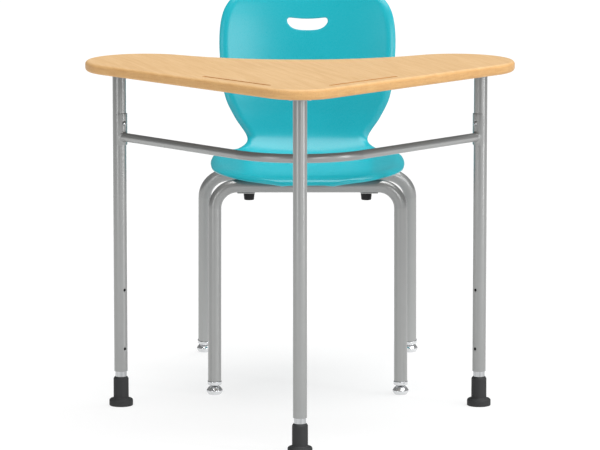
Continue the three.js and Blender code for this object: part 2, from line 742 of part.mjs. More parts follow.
for (const [place, frame] of [['front', FRONT_FRAME], ['rear', REAR_FRAME]]) {
  const lean = (frame.barY - frame.footY) / frame.barZ;
  for (const [name, side] of sides) {
    const splay = (side * (frame.topX - frame.footX)) / frame.barZ;
    const up = new THREE.Vector3(splay, lean, 1).normalize();
    const turn = new THREE.Quaternion().setFromUnitVectors(new THREE.Vector3(0, 0, 1), up);
    const tubeEnd = (CHAIR_TUBE_BOTTOM - BALL_Z) / up.z;
    const bottomY = frame.footY + lean * CHAIR_TUBE_BOTTOM;
    const foot = new THREE.Vector3(side * frame.footX, bottomY, CHAIR_TUBE_BOTTOM)
      .addScaledVector(up, -tubeEnd);
    const label = `${place}_${name}`;
    const cap = add(chair, `glide_cap_${label}`, glideCap(tubeEnd), material.chrome, foot.x, foot.y, BALL_Z);
    const stud = add(chair, `glide_stud_${label}`, glideStud(tubeEnd), material.zinc, foot.x, foot.y, BALL_Z);
    cap.quaternion.copy(turn);
    stud.quaternion.copy(turn);
    add(chair, `glide_base_${label}`, glideBase(), material.chrome, foot.x, foot.y);
  }
}

// ---- Origin -----------------------------------------------------------------

// The set's box runs from the desk's front edge to the rear glides.
set.updateMatrixWorld(true);
const box = new THREE.Box3().setFromObject(set, true);
set.position.y = -(box.min.y + box.max.y) / 2;
set.position.x = -(box.min.x + box.max.x) / 2;

export default set;
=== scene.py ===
"""Student desk and chair set: the detailed visual model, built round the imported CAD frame.

Metres, +Z up. The object's own sizes are typed in millimetres and turned into metres by the factor MM;
the studio's are in metres. The top's height, the places of the desk's tubes and plates, and the size of
the glides' feet come from the CAD nodes' boxes. The rest is placed by named sizes, measured from the
middle of the line through the desk's rear legs, and for the chair with x from its own middle plane.
"""

from math import asin, atan2, cos, hypot, pi, radians, sin, sqrt, tan

import bmesh
import bpy
import numpy as np
from mathutils import Matrix, Vector


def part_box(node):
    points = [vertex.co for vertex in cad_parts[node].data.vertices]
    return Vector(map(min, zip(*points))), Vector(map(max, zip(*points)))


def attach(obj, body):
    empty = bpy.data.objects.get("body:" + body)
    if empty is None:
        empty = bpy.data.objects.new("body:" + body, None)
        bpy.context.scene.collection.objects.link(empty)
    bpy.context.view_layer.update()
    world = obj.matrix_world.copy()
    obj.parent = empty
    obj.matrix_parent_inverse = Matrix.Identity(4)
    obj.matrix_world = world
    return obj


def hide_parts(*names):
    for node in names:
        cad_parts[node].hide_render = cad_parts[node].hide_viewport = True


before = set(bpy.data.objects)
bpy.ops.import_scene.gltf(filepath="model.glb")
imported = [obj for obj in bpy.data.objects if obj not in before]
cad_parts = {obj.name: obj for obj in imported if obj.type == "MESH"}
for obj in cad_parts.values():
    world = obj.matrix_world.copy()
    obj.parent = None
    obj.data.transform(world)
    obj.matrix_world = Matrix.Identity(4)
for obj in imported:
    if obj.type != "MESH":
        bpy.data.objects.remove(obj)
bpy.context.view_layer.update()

MM = 0.001
GAP = 0.3


# ---- Places read from the frame ----


def middle(node):
    low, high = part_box(node)
    return (low + high) / 2


def size(node):
    low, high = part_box(node)
    return high - low


REAR_LINE_Y = middle("upper_leg_left").y
CHAIR_X = middle("front_leg_frame").x
TUBE_RADIUS = size("upper_leg_left").x / 2
INNER_RADIUS = size("inner_leg_left").x / 2
TOP_LOW, TOP_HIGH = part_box("desk_top")
LEGS = {side: middle(f"upper_leg_{side}") for side in ("left", "right", "front")}
SIDES = (("left", -1), ("right", 1))


# ---- Mesh helpers ----


def piece(name, points, faces, sharp=35):
    """A mesh object with its vertices in place, smooth except at sharp edges."""
    mesh = bpy.data.meshes.new(name)
    mesh.from_pydata([tuple(p) for p in points], [], faces)
    obj = bpy.data.objects.new(name, mesh)
    bpy.context.scene.collection.objects.link(obj)
    tidy(obj, sharp)
    return obj


def tidy(obj, sharp=35):
    """Merges doubled points, makes the faces point outwards and shades the mesh."""
    shape = bmesh.new()
    shape.from_mesh(obj.data)
    bmesh.ops.remove_doubles(shape, verts=shape.verts, dist=1e-6)
    bmesh.ops.dissolve_degenerate(shape, edges=shape.edges, dist=1e-7)
    bmesh.ops.recalc_face_normals(shape, faces=shape.faces)
    shape.to_mesh(obj.data)
    shape.free()
    obj.data.polygons.foreach_set("use_smooth", [True] * len(obj.data.polygons))
    obj.data.set_sharp_from_angle(angle=radians(sharp))


def cut(obj, tools, sharp=35):
    """Cuts each tool out of obj and then removes the tools."""
    for tool in tools:
        step = obj.modifiers.new("cut", "BOOLEAN")
        step.operation = "DIFFERENCE"
        step.solver = "EXACT"
        step.material_mode = "TRANSFER"
        step.object = tool
    graph = bpy.context.evaluated_depsgraph_get()
    mesh = bpy.data.meshes.new_from_object(obj.evaluated_get(graph))
    obj.modifiers.clear()
    obj.data = mesh
    for tool in tools:
        bpy.data.objects.remove(tool)
    tidy(obj, sharp)
    return obj


def place(obj, where, up=(0, 0, 1)):
    """Stands obj, drawn with its axis on Z, at a point along a direction."""
    turn = Vector((0, 0, 1)).rotation_difference(Vector(up)).to_matrix().to_4x4()
    obj.matrix_world = Matrix.Translation(where) @ turn
    return obj


def round_corner(before, corner, after, radius, steps):
    """The arc that rounds off the corner between two neighbouring points."""
    back = (before - corner).normalized()
    onward = (after - corner).normalized()
    turn = pi - back.angle(onward)
    reach = radius * tan(turn / 2)
    inward = (onward - back * back.dot(onward)).normalized()
    start = corner + back * reach
    line = []
    for k in range(steps + 1):
        angle = turn * k / steps
        line.append(start - back * radius * sin(angle) + inward * radius * (1 - cos(angle)))
    return line


def rounded(corners, steps=4):
    """A line through flat corners, each given as (x, y) or, to round it off, (x, y, radius)."""
    flat = [Vector(c[:2]) for c in corners]
    line = []
    for i, corner in enumerate(flat):
        radius = corners[i][2] if len(corners[i]) > 2 else 0
        if radius and 0 < i < len(flat) - 1:
            line += round_corner(flat[i - 1], corner, flat[i + 1], radius, steps)
        else:
            line.append(corner)
    return line


def ring_faces(rings, count, start=0, looped=False):
    """Four-sided faces joining each ring of points to the next, and in a loop the last to the first."""
    faces = []
    for i in range(rings if looped else rings - 1):
        here, there = start + i * count, start + (i + 1) % rings * count
        for k in range(count):
            onward = (k + 1) % count
            faces.append((here + k, here + onward, there + onward, there + k))
    return faces


def capped_faces(rings, count):
    """The faces of a solid built of rings and closed at its first and last one."""
    last = (rings - 1) * count
    return [tuple(range(count)), tuple(range(last, last + count)), *ring_faces(rings, count)]


def full_turn(sides):
    """Even steps of angle round a circle."""
    return [2 * pi * k / sides for k in range(sides)]


def turned(name, corners, sides=48, sharp=35):
    """A body of revolution about Z from (radius, z, rounding) corners, in millimetres."""
    profile = [p * MM for p in rounded(corners)]
    count = len(profile)
    points = []
    for angle in full_turn(sides):
        points += [(p.x * cos(angle), p.x * sin(angle), p.y) for p in profile]
    faces = []
    for k in range(sides):
        here, there = k * count, ((k + 1) % sides) * count
        faces += [(here + j, there + j, there + j + 1, here + j + 1) for j in range(count - 1)]
    return piece(name, points, faces, sharp)


def ring_profile(outer, inner, bottom, top, bevel):
    """The closed profile of a tube with softened outer ends, in millimetres."""
    return [
        (inner, (bottom + top) / 2),
        (inner, bottom, bevel),
        (outer, bottom, bevel),
        (outer, top, bevel),
        (inner, top, bevel),
        (inner, (bottom + top) / 2),
    ]


def bent_line(corners, radius, steps):
    """A line of straight stretches joined by round bends."""
    line = [corners[0]]
    for before, corner, after in zip(corners, corners[1:], corners[2:]):
        line += round_corner(before, corner, after, radius, steps)
    line.append(corners[-1])
    return line


def swept_tube(name, line, radius, wall, sides=40):
    """A hollow round tube along a flat bent line, with softened end rims."""
    lip = 0.4 * MM
    section = rounded_tube_ends(line, lip)
    plane = (line[0] - line[1]).cross(line[-1] - line[-2])
    normal = plane.normalized()
    points = []
    rings = [(p, t, radius - e) for p, t, e in section]
    rings += [(p, t, radius - wall + e) for p, t, e in reversed(section)]
    for point, along, r in rings:
        across = along.cross(normal).normalized()
        up = across.cross(along).normalized()
        for angle in full_turn(sides):
            points.append(point + (across * cos(angle) + up * sin(angle)) * r)
    return piece(name, points, ring_faces(len(rings), sides, looped=True))


def rounded_tube_ends(line, lip):
    """Each station's point, direction and how far the wall is drawn in there."""
    stations = []
    last = len(line) - 1
    for i, point in enumerate(line):
        before = (point - line[max(i - 1, 0)]).normalized()
        after = (line[min(i + 1, last)] - point).normalized()
        along = (before + after).normalized() if 0 < i < last else (after if i == 0 else before)
        if i == 0:
            stations.append((point, along, lip))
            stations.append((point + along * lip, along, 0))
        elif i == last:
            stations.append((point - along * lip, along, 0))
            stations.append((point, along, lip))
        else:
            stations.append((point, along, 0))
    return stations


def finish_piece(obj, look, body, *nodes):
    """Gives a piece its look's material and its body, and hides the CAD nodes it replaces."""
    material, slot = look
    if material:
        obj.data.materials.clear()
        obj.data.materials.append(material)
    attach(obj, body)
    if nodes:
        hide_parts(*nodes)
    return obj


# ---- Materials ----


def fill(node, **values):
    """Sets a node's inputs by name, with _ for a space."""
    for key, value in values.items():
        node.inputs[key.replace("_", " ")].default_value = value


class Nodes:
    """Short names for building one material's node tree."""

    def __init__(self, name):
        self.material = bpy.data.materials.new(name)
        self.material.use_nodes = True
        self.tree = self.material.node_tree
        self.shader = self.tree.nodes["Principled BSDF"]
        self.space = self.node("ShaderNodeTexCoord").outputs["Object"]

    def node(self, kind, **settings):
        made = self.tree.nodes.new(kind)
        for key, value in settings.items():
            setattr(made, key, value)
        return made

    def link(self, source, target):
        self.tree.links.new(source, target)

    def stretched(self, scale, turn=0.0):
        """Object coordinates turned about Z and then squeezed along each turned axis."""
        mapping = self.node("ShaderNodeMapping", vector_type="TEXTURE")
        fill(mapping, Scale=tuple(1 / s for s in scale), Rotation=(0, 0, turn))
        self.link(self.space, mapping.inputs["Vector"])
        return mapping.outputs["Vector"]

    def noise(self, scale, detail=4, vector=None, rough=0.5, distortion=0.0):
        made = self.node("ShaderNodeTexNoise")
        fill(made, Scale=scale, Detail=detail, Roughness=rough, Distortion=distortion)
        self.link(vector or self.space, made.inputs["Vector"])
        return made.outputs["Fac"]

    def spread(self, value, low, high, from_low=0.3, from_high=0.7):
        made = self.node("ShaderNodeMapRange")
        fill(made, From_Min=from_low, From_Max=from_high, To_Min=low, To_Max=high)
        self.link(value, made.inputs["Value"])
        return made.outputs["Result"]

    def blend(self, factor, first, second, mode="MIX"):
        made = self.node("ShaderNodeMix", data_type="RGBA", blend_type=mode)
        if isinstance(factor, float):
            made.inputs["Factor"].default_value = factor
        else:
            self.link(factor, made.inputs["Factor"])
        for value, socket in ((first, made.inputs[6]), (second, made.inputs[7])):
            if isinstance(value, tuple):
                socket.default_value = (*value, 1)
            else:
                self.link(value, socket)
        return made.outputs[2]

    def mottled(self, pattern, first, second):
        """A blend of two colours over a pattern's whole range."""
        return self.blend(self.spread(pattern, 0, 1), first, second)

    def bump(self, height, strength, distance):
        made = self.node("ShaderNodeBump")
        fill(made, Strength=strength, Distance=distance)
        self.link(height, made.inputs["Height"])
        return made.outputs["Normal"]

    def edges(self, low=0.51, high=0.56):
        """How much a point lies on an outward edge, from the mesh's shape."""
        return self.spread(self.node("ShaderNodeNewGeometry").outputs["Pointiness"], 0, 1, low, high)

    def finish(self, colour, rough, normal, **fixed):
        self.link(colour, self.shader.inputs["Base Color"])
        self.link(rough, self.shader.inputs["Roughness"])
        self.link(normal, self.shader.inputs["Normal"])
        fill(self.shader, **fixed)
        return self.material


MAPLE = {
    "light": (0.70, 0.465, 0.24),
    "dark": (0.61, 0.38, 0.175),
    "pore": (0.53, 0.32, 0.145),
    "patch": (0.73, 0.50, 0.27),
    "edge_light": (0.68, 0.40, 0.155),
    "edge_dark": (0.56, 0.29, 0.10),
    "edge_speck": (0.34, 0.165, 0.055),
    "backer": (0.200, 0.178, 0.158),
    "backer_light": (0.245, 0.220, 0.196),
}


def wood_laminate(name="wood_laminate", shade=1.0):
    """Maple-grain laminate; a shade below 1 darkens all of it, a painted shade for the faces inside the
    grooves.
    """
    made = Nodes(name)
    grain_turn = radians(-70)
    along = made.stretched((1.0, 14.0, 1.0), grain_turn)
    fine = made.stretched((3.0, 90.0, 3.0), grain_turn)
    bands = made.noise(5.5, 5, along, 0.55, 0.6)
    pores = made.noise(9, 6, fine, 0.6)
    patches = made.noise(3.2, 2)
    base = made.blend(made.spread(bands, 0, 1, 0.35, 0.72), MAPLE["light"], MAPLE["dark"])
    base = made.blend(made.spread(pores, 0, 0.45, 0.5, 0.75), base, MAPLE["pore"])
    base = made.blend(made.spread(patches, 0, 0.22), base, MAPLE["patch"])
    facing = made.node("ShaderNodeSeparateXYZ")
    made.link(made.node("ShaderNodeNewGeometry").outputs["Normal"], facing.inputs[0])
    edge = made.spread(facing.outputs["Z"], 0.75, 0, 0.45, 0.92)
    streaks = made.noise(40, 4, made.stretched((1, 1, 9)), 0.6)
    edge_colour = made.mottled(streaks, MAPLE["edge_light"], MAPLE["edge_dark"])
    specks = made.noise(330, 3, rough=0.7)
    edge_colour = made.blend(made.spread(specks, 0, 0.55, 0.56, 0.72), edge_colour, MAPLE["edge_speck"])
    colour = made.blend(edge, base, edge_colour)
    under = made.spread(facing.outputs["Z"], 1, 0, -0.97, -0.9)
    backer = made.mottled(patches, MAPLE["backer"], MAPLE["backer_light"])
    colour = made.blend(under, colour, backer)
    # Multiplying by shade paints the shade inside the grooves; at 1 it changes nothing.
    colour = made.blend(1.0, colour, (shade, shade * shade, shade**3), "MULTIPLY")
    rough = made.spread(pores, 0.42, 0.56)
    normal = made.bump(pores, 0.10, 0.0004)
    return made.finish(colour, rough, normal, Specular_IOR_Level=0.2)


def powder_coat():
    made = Nodes("powder_coat")
    cloud = made.noise(14, 3)
    peel = made.noise(260, 3)
    colour = made.mottled(cloud, (0.295, 0.30, 0.297), (0.315, 0.32, 0.317))
    colour = made.blend(made.edges(), colour, (0.39, 0.395, 0.39))
    rough = made.spread(cloud, 0.32, 0.36)
    normal = made.bump(peel, 0.02, 0.0001)
    return made.finish(colour, rough, normal, Metallic=0.6)


def bright_steel():
    made = Nodes("bright_steel")
    smudge = made.noise(45, 4)
    brushed = made.noise(12, 3, made.stretched((24, 24, 1)))
    colour = made.mottled(smudge, (0.52, 0.53, 0.54), (0.60, 0.61, 0.62))
    colour = made.blend(made.spread(brushed, 0, 0.6), colour, (0.34, 0.345, 0.35))
    rough = made.spread(smudge, 0.1, 0.2)
    normal = made.bump(brushed, 0.12, 0.0002)
    return made.finish(colour, rough, normal, Metallic=1.0)


def satin_nickel():
    made = Nodes("satin_nickel")
    smudge = made.noise(60, 4)
    colour = made.mottled(smudge, (0.68, 0.69, 0.70), (0.76, 0.77, 0.78))
    rough = made.spread(smudge, 0.10, 0.16)
    normal = made.bump(smudge, 0.03, 0.0001)
    return made.finish(colour, rough, normal, Metallic=0.8)


def zinc():
    made = Nodes("zinc")
    grain = made.noise(260, 4)
    colour = made.mottled(grain, (0.44, 0.45, 0.46), (0.56, 0.57, 0.57))
    rough = made.spread(grain, 0.2, 0.3)
    normal = made.bump(grain, 0.06, 0.0001)
    return made.finish(colour, rough, normal, Metallic=1.0)


def boot_rubber():
    made = Nodes("boot_rubber")
    pebble = made.noise(900, 3)
    dust = made.noise(18, 4)
    colour = made.mottled(dust, (0.014, 0.015, 0.016), (0.023, 0.023, 0.024))
    colour = made.blend(made.edges(), colour, (0.045, 0.045, 0.046))
    rough = made.spread(dust, 0.6, 0.74)
    normal = made.bump(pebble, 0.2, 0.0003)
    return made.finish(colour, rough, normal)


def shell_plastic():
    made = Nodes("shell_plastic")
    cloud = made.noise(7, 2)
    grain = made.noise(1100, 3)
    flecks = made.noise(240, 2)
    colour = made.mottled(cloud, (0.005, 0.360, 0.428), (0.009, 0.388, 0.458))
    colour = made.blend(made.spread(flecks, 0, 0.25), colour, (0.022, 0.41, 0.485))
    # Lighter teal on the rims and rolled edges, found from pointiness: a painted highlight.
    colour = made.blend(made.edges(0.52, 0.6), colour, (0.03, 0.45, 0.52))
    rough = made.spread(grain, 0.25, 0.32)
    normal = made.bump(grain, 0.06, 0.0002)
    return made.finish(colour, rough, normal, Specular_IOR_Level=0.45)


def black_plastic():
    made = Nodes("black_plastic")
    grain = made.noise(500, 3)
    colour = made.mottled(grain, (0.004, 0.004, 0.005), (0.010, 0.010, 0.011))
    rough = made.spread(grain, 0.42, 0.55)
    normal = made.bump(grain, 0.12, 0.0002)
    return made.finish(colour, rough, normal, Specular_IOR_Level=0.25)


# A look is a material and the slot it belongs to. The top brings its own two materials.
WOOD = wood_laminate()
# A darker copy of the laminate for the groove faces: painted shade inside the grooves.
GROOVE_SHADED_WOOD = wood_laminate("groove_painted_shade", 0.8)
LAMINATE = (None, "top_laminate")
PAINT = (powder_coat(), "frame_paint")
BRIGHT = (bright_steel(), "bright_steel")
NICKEL = (satin_nickel(), "bright_steel")
ZINC = (zinc(), "zinc_screw")
RUBBER = (boot_rubber(), "boot_rubber")
SHELL = (shell_plastic(), "shell_plastic")
BLACK = (black_plastic(), "black_plastic")


# ---- Shapes shared by several pieces ----


def at(x, y, z):
    """A point given in millimetres from the middle of the desk's rear-leg line."""
    return Vector((x * MM, REAR_LINE_Y + y * MM, z * MM))


def slab(name, outline, bottom, top, edge_round, steps):
    """A flat plate with rounded edges. outline(inset) gives its points in metres."""
    rings = []
    for k in range(steps + 1):
        angle = pi / 2 * k / steps
        rings.append((edge_round * (1 - sin(angle)), bottom + edge_round * (1 - cos(angle))))
    rings += [(inset, top - (z - bottom)) for inset, z in reversed(rings)]
    points = []
    for inset, z in rings:
        points += [(x, y, z) for x, y in outline(inset)]
    return piece(name, points, capped_faces(len(rings), len(points) // len(rings)))


def flatten_large_faces(obj, area=0.0008):
    """Shades the big flat faces flat, so that their rims do not tint them."""
    for face in obj.data.polygons:
        if face.area > area:
            face.use_smooth = False


def arc(centre, radius, start, end, steps):
    angles = [start + (end - start) * k / steps for k in range(steps + 1)]
    return [(centre[0] + radius * cos(a), centre[1] + radius * sin(a)) for a in angles]


def rounded_rectangle(low, high, radius, inset, steps=5):
    """Points round a rectangle with rounded corners, drawn in by an inset."""
    r = radius - inset
    corners = (
        (high[0] - radius, low[1] + radius, -pi / 2),
        (high[0] - radius, high[1] - radius, 0),
        (low[0] + radius, high[1] - radius, pi / 2),
        (low[0] + radius, low[1] + radius, pi),
    )
    points = []
    for x, y, start in corners:
        points += arc((x, y), r, start, start + pi / 2, steps)
    return points


def rod(radius, low, high, sides=32):
    """A plain round cutter along Z, in millimetres."""
    return turned("cutter", [(0, low), (radius, low), (radius, high), (0, high)], sides)


def block(low, high):
    """A plain rectangular cutter, in millimetres."""
    xs, ys, zs = zip(low, high)
    points = [Vector((x, y, z)) * MM for z in zs for y in ys for x in xs]
    faces = [(0, 2, 3, 1), (4, 5, 7, 6), (0, 1, 5, 4), (1, 3, 7, 5), (3, 2, 6, 7), (2, 0, 4, 6)]
    return piece("cutter", points, faces)


def cross_recess(width, reach, floor, top):
    """Two crossing slots, the driver's recess in a screw head."""
    half = width / 2
    return [
        block((-reach, -half, floor), (reach, half, top)),
        block((-half, -reach, floor - 0.01), (half, reach, top)),
    ]


def pan_screw(name, form, length):
    """A screw with its seat at the origin, its head above and its shank below."""
    shank, head, height = form["shank"], form["head"], form["head_height"]
    tip, taper, rim = shank * 0.35, shank * 1.6, 0.35
    side_top, dome_start = height * 0.45, height * 0.88
    profile = [
        (0, -length),
        (tip, -length, 0.3),
        (shank, -length + taper, 0.6),
        (shank, 0),
        (head - 0.25, 0, 0.1),
        (head, rim, 0.2),
        (head * 0.97, side_top, 0.8),
        (head * 0.7, dome_start, 1.6),
        (0, height),
    ]
    screw = turned(name, profile, 40)
    slot_width, slot_reach, slot_floor = 0.95, head * 0.55, height * 0.42
    return cut(screw, cross_recess(slot_width, slot_reach, slot_floor, height + 1))


# ---- Desk top ----

LOBE = {"x": 315.5, "y": -53.5, "radius": 120}
APEX = {"y": -452, "radius": 83}
REAR_DIP_Y = -37.5
EDGE_ROUND = 7
GROOVE = {"length": 198, "width": 8, "depth": 3, "inset": 31, "towards_apex": 28}

SIDE_NORMAL = (
    atan2(LOBE["y"] - APEX["y"], LOBE["x"])
    - pi / 2
    + asin((APEX["radius"] - LOBE["radius"]) / hypot(LOBE["x"], LOBE["y"] - APEX["y"]))
)
LOBE_DROP = LOBE["y"] - REAR_DIP_Y
REAR_RADIUS = (LOBE["x"] ** 2 + LOBE_DROP**2 - LOBE["radius"] ** 2) / (2 * (LOBE["radius"] + LOBE_DROP))
REAR_CENTRE_Y = REAR_DIP_Y + REAR_RADIUS
LOBE_TO_REAR = atan2(REAR_CENTRE_Y - LOBE["y"], -LOBE["x"])
ALONG_SIDE = SIDE_NORMAL - pi / 2
FACING = {"left": pi - ALONG_SIDE, "right": ALONG_SIDE, "front": pi / 2}


def top_outline(inset):
    """The rounded triangle with a concave rear edge, in metres."""
    drawn = inset / MM
    mirrored = pi - SIDE_NORMAL
    lobe, apex = LOBE["radius"] - drawn, APEX["radius"] - drawn
    rear = REAR_RADIUS + drawn
    line = arc((0, APEX["y"]), apex, mirrored - 2 * pi, SIDE_NORMAL, 40)
    line += arc((LOBE["x"], LOBE["y"]), lobe, SIDE_NORMAL, LOBE_TO_REAR, 64)
    line += arc((0, REAR_CENTRE_Y), rear, LOBE_TO_REAR - pi, -LOBE_TO_REAR, 48)[1:-1]
    line += arc((-LOBE["x"], LOBE["y"]), lobe, pi - LOBE_TO_REAR, mirrored, 64)
    return [at(x, y, 0).to_2d() for x, y in line]


def groove_cutter(side):
    """A round-ended trough with a rounded floor, lying beside one front edge."""
    out = Vector((cos(SIDE_NORMAL), sin(SIDE_NORMAL)))
    up = Vector((-out.y, out.x))
    reach = APEX["radius"] - GROOVE["inset"]
    centre = Vector((0, APEX["y"])) + out * reach + up * (GROOVE["towards_apex"] + GROOVE["length"] / 2)
    half_width, half_length = GROOVE["width"] / 2, (GROOVE["length"] - GROOVE["width"]) / 2
    floor = -GROOVE["depth"]
    profile = [(1, 1), (1, 0), (0.97, 0.3 * floor), (0.82, 0.72 * floor), (0.5, 0.95 * floor), (0.08, floor)]
    points = []
    for width, z in profile:
        ring = arc((half_length, 0), half_width * width, -pi / 2, pi / 2, 12)
        ring += arc((-half_length, 0), half_width * width, pi / 2, 1.5 * pi, 12)
        for x, y in ring:
            spot = centre + up * x + out * y
            points.append(at(side * spot.x, spot.y, 0) + Vector((0, 0, TOP_HIGH.z + z * MM)))
    return piece("cutter", points, capped_faces(len(profile), len(points) // len(profile)))


def build_desk_top():
    board = slab("top_board", top_outline, TOP_LOW.z, TOP_HIGH.z, EDGE_ROUND * MM, 10)
    board.data.materials.append(WOOD)
    cutters = [groove_cutter(side) for _, side in SIDES]
    for cutter in cutters:
        cutter.data.materials.append(GROOVE_SHADED_WOOD)
    cut(board, cutters)
    flatten_large_faces(board)
    finish_piece(board, LAMINATE, "desk", "desk_top")


# ---- Desk legs ----

SLIDE_GAP = 0.35
INNER_WALL = 2
LOCK_HEIGHTS = {"lower": 119.6, "upper": 242.5}
LOCK_HOLE = {"radius": 3.1, "mouth": 4.1, "chamfer": 0.8}
LOCK_SCREW = {"radius": 2.8, "inner": 12.4, "outer": 13.4, "socket": 1.5, "socket_floor": 12.8}
PLATE_THICKNESS = 2
PLATE_SCREW = {"shank": 2.2, "head": 4.5, "head_height": 1.8, "depth": 12, "hole": 2.5, "circle": 21}
SADDLE_SCREW = {"shank": 2.5, "head": 4.8, "head_height": 3, "length": 8, "hole": 2.8, "z": 588}
BOOT = {"sole": 12, "flange": 24.5, "flange_top": 15, "body": 15.7, "body_top": 57, "rim": 12.6, "top": 61}
BOOT_HOLLOW, BOOT_FLOOR = 1.2, 5


def leg_point(side, height=0):
    """The middle of a desk leg at a height in millimetres."""
    return Vector((LEGS[side].x, LEGS[side].y, height * MM))


def radial(tool, side, height, distance=0):
    """Turns something drawn on Z to point out of a leg where its fittings face."""
    facing = FACING[side]
    out = Vector((cos(facing), sin(facing), 0))
    return place(tool, leg_point(side, height) + out * distance * MM, out)


def build_upper_leg(side):
    low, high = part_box(f"upper_leg_{side}")
    outer, bore = TUBE_RADIUS / MM, INNER_RADIUS / MM + SLIDE_GAP
    leg = turned(f"outer_tube_{side}", ring_profile(outer, bore, low.z / MM, high.z / MM, 0.5), 72)
    place(leg, leg_point(side))
    hole, mouth, past = LOCK_HOLE["radius"], LOCK_HOLE["mouth"], outer + 4
    drill = [(0, 0), (hole, 0), (hole, outer - LOCK_HOLE["chamfer"])]
    drill += [(mouth, outer + 0.2), (mouth, past), (0, past)]
    holes = [radial(turned("cutter", drill), side, height) for height in LOCK_HEIGHTS.values()]
    if side != "front":
        holes.append(radial(rod(SADDLE_SCREW["hole"], 0, past), side, SADDLE_SCREW["z"]))
    cut(leg, holes)
    finish_piece(leg, PAINT, "desk", f"upper_leg_{side}")


def build_inner_leg(side):
    low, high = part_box(f"inner_leg_{side}")
    outer = INNER_RADIUS / MM
    profile = ring_profile(outer, outer - INNER_WALL, low.z / MM, high.z / MM, 0.4)
    leg = turned(f"slide_tube_{side}", profile, 64)
    place(leg, leg_point(side))
    finish_piece(leg, BRIGHT, "base", f"inner_leg_{side}")


def build_boot(side):
    bore = INNER_RADIUS / MM + GAP
    profile = [
        (0, BOOT_HOLLOW),
        (BOOT["sole"], BOOT_HOLLOW, 0.6),
        (BOOT["sole"] + 1.5, 0, 0.8),
        (BOOT["flange"], 0, 2),
        (BOOT["flange"], BOOT["flange_top"], 4.5),
        (BOOT["body"], BOOT["flange_top"], 2.5),
        (BOOT["body"] - 0.1, BOOT["body_top"], 4),
        (BOOT["rim"], BOOT["top"], 0.8),
        (bore, BOOT["top"], 0.3),
        (bore, BOOT_FLOOR),
        (0, BOOT_FLOOR),
    ]
    boot = turned(f"foot_boot_{side}", profile, 72, 40)
    place(boot, leg_point(side))
    finish_piece(boot, RUBBER, "base", f"boot_{side}")


def build_lock_screws(side):
    radius, inner, outer = LOCK_SCREW["radius"], LOCK_SCREW["inner"], LOCK_SCREW["outer"]
    socket, floor = LOCK_SCREW["socket"], LOCK_SCREW["socket_floor"]
    profile = [(0, inner), (radius, inner, 0.2), (radius, outer, 0.3), (socket, outer, 0.1)]
    profile += [(socket, floor), (0, floor)]
    for level, height in LOCK_HEIGHTS.items():
        screw = turned(f"grub_screw_{side}_{level}", profile, 36)
        radial(screw, side, height)
        finish_piece(screw, BLACK, "desk", f"lock_screw_{side}_{level}")


def build_leg_plate(side):
    low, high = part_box(f"leg_plate_{side}")
    bottom, top = low.z / MM, high.z / MM
    radius, tube = (high.x - low.x) / 2 / MM, TUBE_RADIUS / MM
    profile = [(0, bottom), (tube + 2, bottom), (radius, bottom, 0.6), (radius, top, 0.6), (0, top)]
    disc = turned(f"fixing_plate_{side}", profile, 72)
    weld = [(tube - 0.4, bottom + 0.2), (tube + 2.2, bottom + 0.2)]
    weld += [(tube + 0.5, bottom - 0.6), (tube - 0.4, bottom - 2.4)]
    bead = turned(f"plate_weld_{side}", [*weld, weld[0]], 72)
    spot = leg_point(side)
    place(disc, spot)
    place(bead, spot)
    tools = []
    for i in range(3):
        angle = FACING[side] + i * 2 * pi / 3
        centre = spot + Vector((cos(angle), sin(angle), 0)) * PLATE_SCREW["circle"] * MM
        tools.append(place(rod(PLATE_SCREW["hole"], bottom - 1, top + 1), centre))
        screw = pan_screw(f"wood_screw_{side}_{i + 1}", PLATE_SCREW, PLATE_THICKNESS + PLATE_SCREW["depth"])
        place(screw, centre + Vector((0, 0, low.z - GAP * MM)), (0, 0, -1))
        finish_piece(screw, ZINC, "desk", f"plate_screw_{side}_{i + 1}")
    cut(disc, tools)
    finish_piece(disc, PAINT, "desk", f"leg_plate_{side}")
    finish_piece(bead, PAINT, "desk")


# ---- Stretcher bar and saddles ----

STRETCHER = {"z": 559.6, "radius": 9, "wall": 1.6, "bend": 165}
SADDLE = {"bottom": 543, "top": 608, "inner": 14.05, "wall": 2, "wrap": 66, "corner": 5}
SADDLE_OUTER = SADDLE["inner"] + SADDLE["wall"]
BEAD = 3.2


def build_stretcher():
    leg_x = LEGS["right"].x / MM
    corner = leg_x * tan(ALONG_SIDE - pi)
    ends = [at(-leg_x, 0, STRETCHER["z"]), at(0, -corner, STRETCHER["z"]), at(leg_x, 0, STRETCHER["z"])]
    line = bent_line(ends, STRETCHER["bend"] * MM, 48)
    bar = swept_tube("cross_bar", line, STRETCHER["radius"] * MM, STRETCHER["wall"] * MM)
    tools = []
    for side in ("left", "right"):
        cope = rod(SADDLE_OUTER + 0.1, SADDLE["bottom"], SADDLE["top"], 96)
        tools.append(place(cope, leg_point(side)))
    cut(bar, tools)
    finish_piece(bar, PAINT, "desk", "stretcher_bar")


